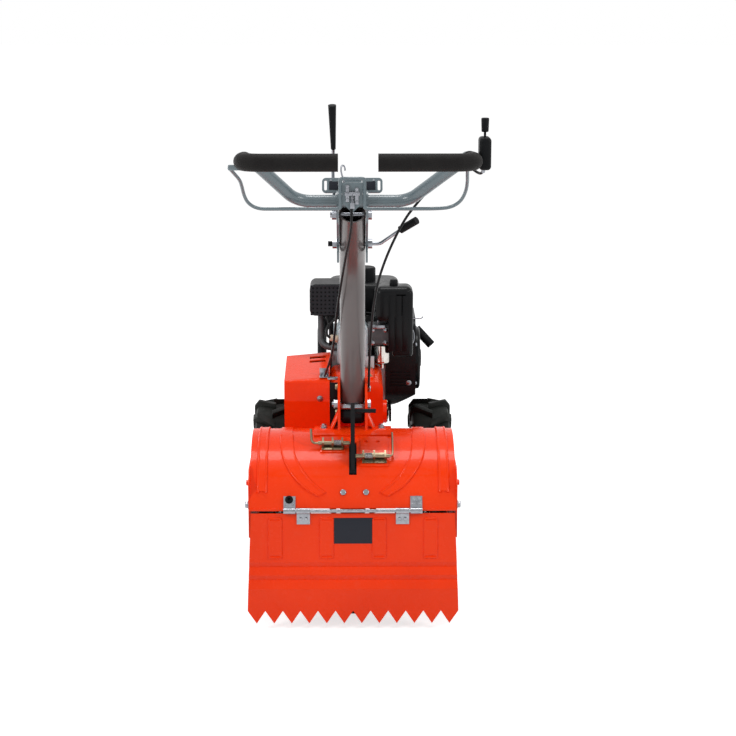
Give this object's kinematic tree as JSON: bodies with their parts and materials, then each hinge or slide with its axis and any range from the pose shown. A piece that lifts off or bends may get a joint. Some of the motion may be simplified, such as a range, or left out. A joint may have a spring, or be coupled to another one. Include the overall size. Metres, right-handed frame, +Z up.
{
  "type": "rear tine tiller",
  "caption": "Walk-behind rear tine tiller with lugged drive wheels, hooded tine rotor, hinged toothed flap, depth stake and tilting handlebar.",
  "frame": {"origin": "on the ground, below the middle of the machine's bounding box", "axes": "+X to the machine's right, +Y forward from the grips to the engine, +Z up"},
  "size_m": [0.5804, 1.244, 1.2581],
  "materials": {
    "orange_paint": "gloss",
    "case_paint": "gloss painted casting",
    "bar_paint": "semi-gloss grey paint",
    "mast_paint": "gloss dark grey paint",
    "black_metal": "satin black paint",
    "zinc": "bright zinc plate",
    "steel": "bare steel",
    "tine_steel": "dark forged steel",
    "rim_paint": "satin pale paint",
    "tyre_rubber": "matte rubber",
    "grip_foam": "matte foam",
    "black_plastic": "satin moulded plastic",
    "engine_casting": "cast aluminium",
    "chrome": "polished",
    "cable_sheath": "satin sheath"
  },
  "bodies": {
    "chassis": {"tine_hood": "orange_paint", "hood_side_plates": "orange_paint", "latch_plates": "orange_paint", "stake_guide": "black_metal", "stake_latches": "orange_paint", "latch_plungers": "zinc", "flap_hinge": "zinc", "gear_case": "case_paint", "engine_cradle": "black_metal", "front_guard": "black_metal", "engine_block": "engine_casting", "cylinder_head": "engine_casting", "blower_housing": "black_plastic", "starter_grip": "black_plastic", "fuel_tank": "black_plastic", "fuel_cap": "black_plastic", "air_cleaner": "black_plastic", "carburettor": "engine_casting", "fuel_bowl": "chrome", "muffler": "black_metal", "belt_cover": "orange_paint", "mast": "mast_paint", "mast_bracket": "orange_paint", "mast_spacer": "zinc", "mast_bolts": "zinc", "clamp_lever": "zinc", "throttle_cable": "cable_sheath", "clutch_cable": "cable_sheath"},
    "wheel_left": {"tyre_left": "tyre_rubber", "rim_left": "rim_paint", "axle_left": "steel"},
    "wheel_right": {"tyre_right": "tyre_rubber", "rim_right": "rim_paint", "axle_right": "steel"},
    "rotor": {"tine_shaft": "steel", "tine_gang_left": "tine_steel", "tine_gang_right": "tine_steel"},
    "flap": {"rear_flap": "orange_paint", "flap_knuckles": "zinc"},
    "stake": {"depth_stake": "black_metal"},
    "handlebar": {"handlebar_tube": "bar_paint", "grip_left": "grip_foam", "grip_right": "grip_foam", "head_plates": "bar_paint", "linkage_shield": "bar_paint", "safety_bail": "bar_paint", "control_panel": "bar_paint", "shift_lever": "black_plastic", "throttle_control": "black_plastic"}
  },
  "joints": [
    {"name": "wheel_left_spin", "type": "hinge", "parent": "chassis", "child": "wheel_left", "pos_m": [0, 0.38, 0.202], "axis": [1, 0, 0], "continuous": true},
    {"name": "wheel_right_spin", "type": "hinge", "parent": "chassis", "child": "wheel_right", "pos_m": [0, 0.38, 0.202], "axis": [1, 0, 0], "continuous": true},
    {"name": "rotor_spin", "type": "hinge", "parent": "chassis", "child": "rotor", "pos_m": [0, -0.11, 0.205], "axis": [1, 0, 0], "continuous": true},
    {"name": "flap_swing", "type": "hinge", "parent": "chassis", "child": "flap", "pos_m": [0, -0.31334, 0.30707], "axis": [-1, 0, 0], "range_deg": [0, 95]},
    {"name": "stake_slide", "type": "slide", "parent": "chassis", "child": "stake", "axis": [0, 0, 1], "range_m": [0, 0.1]},
    {"name": "handlebar_tilt", "type": "hinge", "parent": "chassis", "child": "handlebar", "pos_m": [0, -0.337, 1.009], "axis": [1, 0, 0], "range_deg": [-12, 12]}
  ]
}
